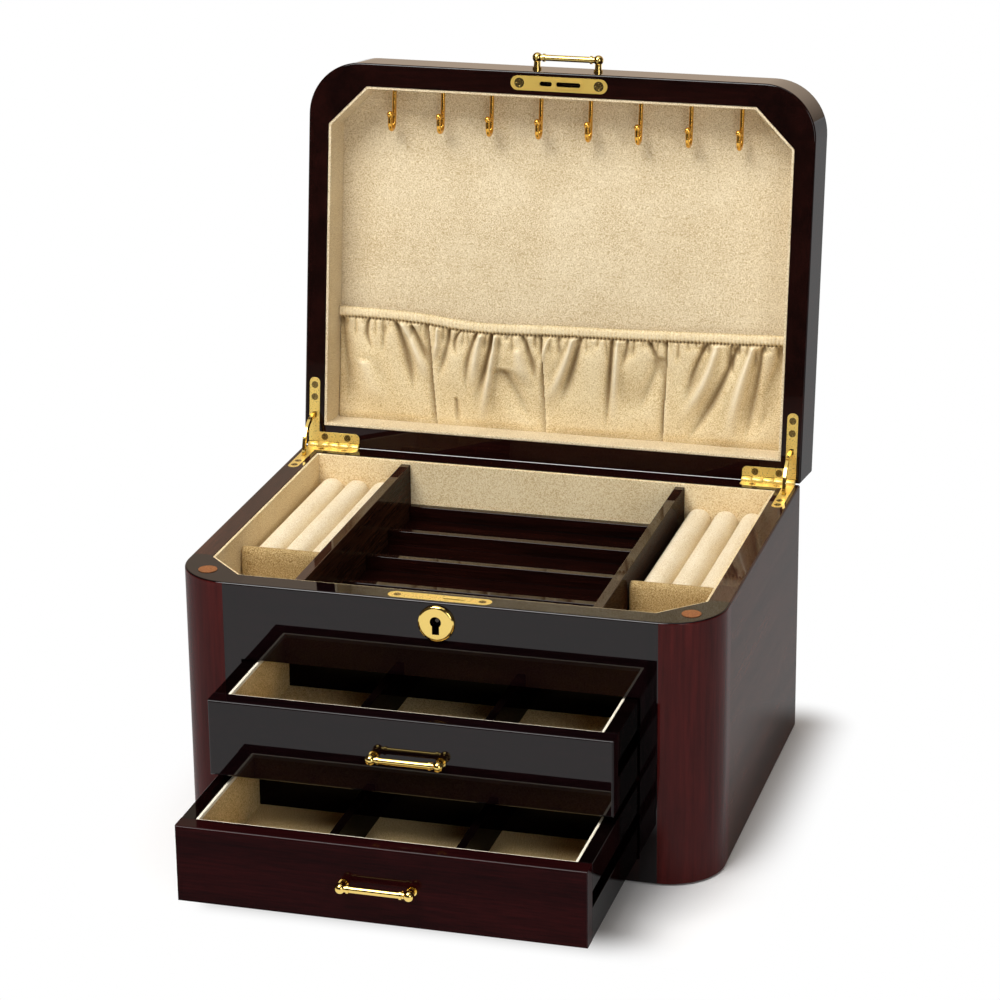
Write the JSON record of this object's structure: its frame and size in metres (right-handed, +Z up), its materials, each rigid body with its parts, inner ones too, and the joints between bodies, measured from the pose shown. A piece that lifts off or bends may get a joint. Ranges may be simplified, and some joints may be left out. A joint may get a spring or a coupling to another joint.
{
  "type": "jewellery box",
  "caption": "Lacquered wooden jewellery box with a hinged lid, a lined ring tray, pull-out drawers, necklace hooks, a gathered lid pocket and a lock.",
  "frame": {"origin": "on the table, under the middle of the case", "axes": "+Z up, +Y to the rear, +X to the viewer's right when facing the lock"},
  "size_m": [0.32, 0.4428, 0.4083],
  "materials": {
    "lacquered_mahogany": "dark mahogany under a mirror gloss lacquer",
    "plain_wood": "plain stained wood, satin",
    "beige_velvet": "short beige velvet nap",
    "polished_brass": "polished",
    "gilt_wire": "polished gilt wire",
    "bumper_leather": "matt orange-brown",
    "base_felt": "black felt",
    "steel_pin": "plain"
  },
  "bodies": {
    "case": {"base_panel": "plain_wood", "base_felt": "base_felt", "bottom_rail": "lacquered_mahogany", "left_side_panel": "lacquered_mahogany", "right_side_panel": "lacquered_mahogany", "rear_panel": "lacquered_mahogany", "left_corner_post": "lacquered_mahogany", "right_corner_post": "lacquered_mahogany", "front_rail": "lacquered_mahogany", "drawer_shelf": "lacquered_mahogany", "drawer_cheeks": "plain_wood", "drawer_runners": "plain_wood", "tray_floor": "plain_wood", "tray_wall_lining": "beige_velvet", "tray_partitions": "lacquered_mahogany", "channel_floor": "lacquered_mahogany", "channel_slats": "lacquered_mahogany", "tray_floor_felts": "beige_velvet", "cross_dividers": "beige_velvet", "left_ring_rolls": "beige_velvet", "right_ring_rolls": "beige_velvet", "lid_bumpers": "bumper_leather", "lock_case": "steel_pin", "lock_face_plate": "polished_brass", "lock_pins": "steel_pin", "keyhole_escutcheon": "polished_brass", "left_hinge_case_leaf": "polished_brass", "right_hinge_case_leaf": "polished_brass", "hinge_pins": "polished_brass", "case_screws": "polished_brass"},
    "lid": {"lid_left_wall": "lacquered_mahogany", "lid_right_wall": "lacquered_mahogany", "lid_front_wall": "lacquered_mahogany", "lid_rear_wall": "lacquered_mahogany", "lid_top": "lacquered_mahogany", "lid_back_lining": "beige_velvet", "lid_wall_lining": "beige_velvet", "lid_pocket": "beige_velvet", "necklace_hooks": "gilt_wire", "strike_plate": "polished_brass", "lid_handle": "polished_brass", "left_hinge_lid_leaf": "polished_brass", "right_hinge_lid_leaf": "polished_brass", "lid_screws": "polished_brass"},
    "stays": {"quadrant_stays": "polished_brass"},
    "hook": {"hook_bolt": "steel_pin"},
    "upper_drawer": {"upper_drawer_front": "lacquered_mahogany", "upper_drawer_sides": "lacquered_mahogany", "upper_drawer_back": "lacquered_mahogany", "upper_drawer_bottom": "plain_wood", "upper_drawer_lining": "beige_velvet", "upper_drawer_dividers": "lacquered_mahogany", "upper_drawer_handle": "polished_brass"},
    "lower_drawer": {"lower_drawer_front": "lacquered_mahogany", "lower_drawer_sides": "lacquered_mahogany", "lower_drawer_back": "lacquered_mahogany", "lower_drawer_bottom": "plain_wood", "lower_drawer_lining": "beige_velvet", "lower_drawer_dividers": "lacquered_mahogany", "lower_drawer_handle": "polished_brass"}
  },
  "joints": [
    {"name": "lid_hinge", "type": "hinge", "parent": "case", "child": "lid", "pos_m": [0, 0.1215, 0.16025], "axis": [1, 0, 0], "range_deg": [0, 97.7]},
    {"name": "stays_swing", "type": "hinge", "parent": "case", "child": "stays", "pos_m": [0, 0.1215, 0.16025], "axis": [1, 0, 0], "range_deg": [0, 48.85]},
    {"name": "hook_bolt_turn", "type": "hinge", "parent": "case", "child": "hook", "pos_m": [0.0159, -0.1144, 0.154], "axis": [0, 1, 0], "range_deg": [0, 80]},
    {"name": "upper_drawer_slide", "type": "slide", "parent": "case", "child": "upper_drawer", "axis": [0, -1, 0], "range_m": [-0.0589, 0.0911]},
    {"name": "lower_drawer_slide", "type": "slide", "parent": "case", "child": "lower_drawer", "axis": [0, -1, 0], "range_m": [-0.1166, 0.0334]}
  ],
  "couplings": [
    {"joint": "stays_swing", "follows": "lid_hinge", "ratio": 0.5}
  ]
}
